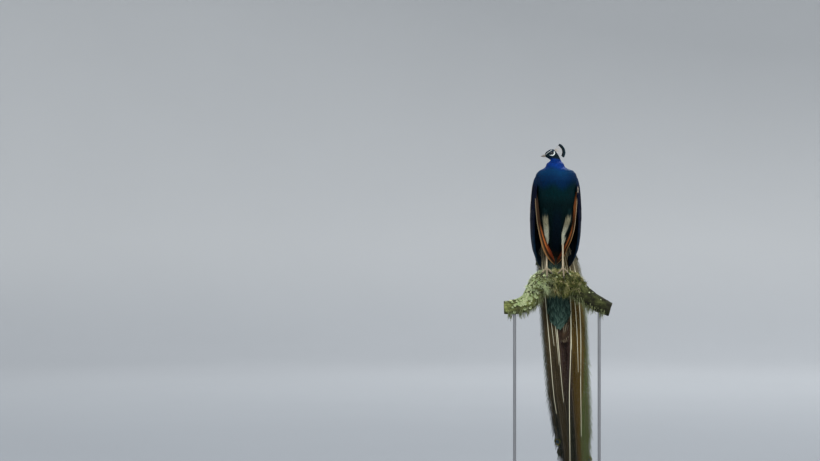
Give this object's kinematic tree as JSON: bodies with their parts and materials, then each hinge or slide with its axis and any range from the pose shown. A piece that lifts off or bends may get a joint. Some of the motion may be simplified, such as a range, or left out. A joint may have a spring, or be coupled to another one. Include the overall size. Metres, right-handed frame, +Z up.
{
  "type": "peacock on a perch",
  "caption": "Life-size still model of a male Indian peafowl, at rest on a short cut length of mossy branch with its train hanging, on a plain display stand.",
  "frame": {"origin": "centre of the underside of the stand's base", "axes": "+Z up; -Y is the way the bird's breast faces; +X is the bird's left. Its head is turned to its right, along -X"},
  "size_m": [0.64, 0.48, 1.939],
  "materials": {
    "head_feathers": "short satin blue-green black feathers",
    "crest_feathers": "pale bare shafts with blue-green black vanes",
    "bill_horn": "pale grey-brown horn, satin",
    "claw_horn": "dark grey-brown horn, satin",
    "eye": "wet, dark brown",
    "neck_feathers": "glossy cobalt blue feathers",
    "breast_feathers": "glossy teal and navy feathers",
    "belly_feathers": "loose blackish green feathers",
    "covert_feathers": "small feathers barred dark and buff",
    "secondary_feathers": "satin blue-black vanes",
    "primary_feathers": "matt chestnut vanes with pale shafts",
    "thigh_feathers": "soft buff feathers",
    "leg_scales": "pale grey-buff scutes",
    "undertail_feathers": "loose dark green feathers",
    "rectrix_feathers": "ashy brown vanes",
    "train_feathers": "loose bronze-green barbs, eye markings, pale shafts, brown below",
    "perch_bark": "bark with moss and lichen",
    "stand_base": "satin dark paint",
    "stand_rod": "satin steel"
  },
  "bodies": {
    "root": {"breast": "breast_feathers", "claw_left_hind": "claw_horn", "claw_left_inner": "claw_horn", "claw_left_middle": "claw_horn", "claw_left_outer": "claw_horn", "claw_right_hind": "claw_horn", "claw_right_inner": "claw_horn", "claw_right_middle": "claw_horn", "claw_right_outer": "claw_horn", "crest": "crest_feathers", "eye_left": "eye", "eye_right": "eye", "foot_left": "leg_scales", "foot_right": "leg_scales", "head": "head_feathers", "lower_bill": "bill_horn", "neck_lower": "neck_feathers", "neck_upper": "neck_feathers", "perch": "perch_bark", "spur_left": "claw_horn", "spur_right": "claw_horn", "stand_base": "stand_base", "stand_rod_left": "stand_rod", "stand_rod_right": "stand_rod", "tail_rectrices": "rectrix_feathers", "tarsus_left": "leg_scales", "tarsus_right": "leg_scales", "thigh_left": "thigh_feathers", "thigh_right": "thigh_feathers", "train_lower": "train_feathers", "train_middle": "train_feathers", "train_plume_1_1": "train_feathers", "train_plume_1_2": "train_feathers", "train_plume_1_3": "train_feathers", "train_plume_1_4": "train_feathers", "train_plume_1_5": "train_feathers", "train_plume_2_1": "train_feathers", "train_plume_2_2": "train_feathers", "train_plume_2_3": "train_feathers", "train_plume_2_4": "train_feathers", "train_plume_2_5": "train_feathers", "train_plume_3_1": "train_feathers", "train_plume_3_2": "train_feathers", "train_plume_3_3": "train_feathers", "train_plume_3_4": "train_feathers", "train_plume_3_5": "train_feathers", "train_upper": "train_feathers", "trunk": "belly_feathers", "undertail_coverts": "undertail_feathers", "upper_bill": "bill_horn", "wing_left_coverts": "covert_feathers", "wing_left_primaries": "primary_feathers", "wing_left_secondaries": "secondary_feathers", "wing_right_coverts": "covert_feathers", "wing_right_primaries": "primary_feathers", "wing_right_secondaries": "secondary_feathers"}
  },
  "joints": []
}
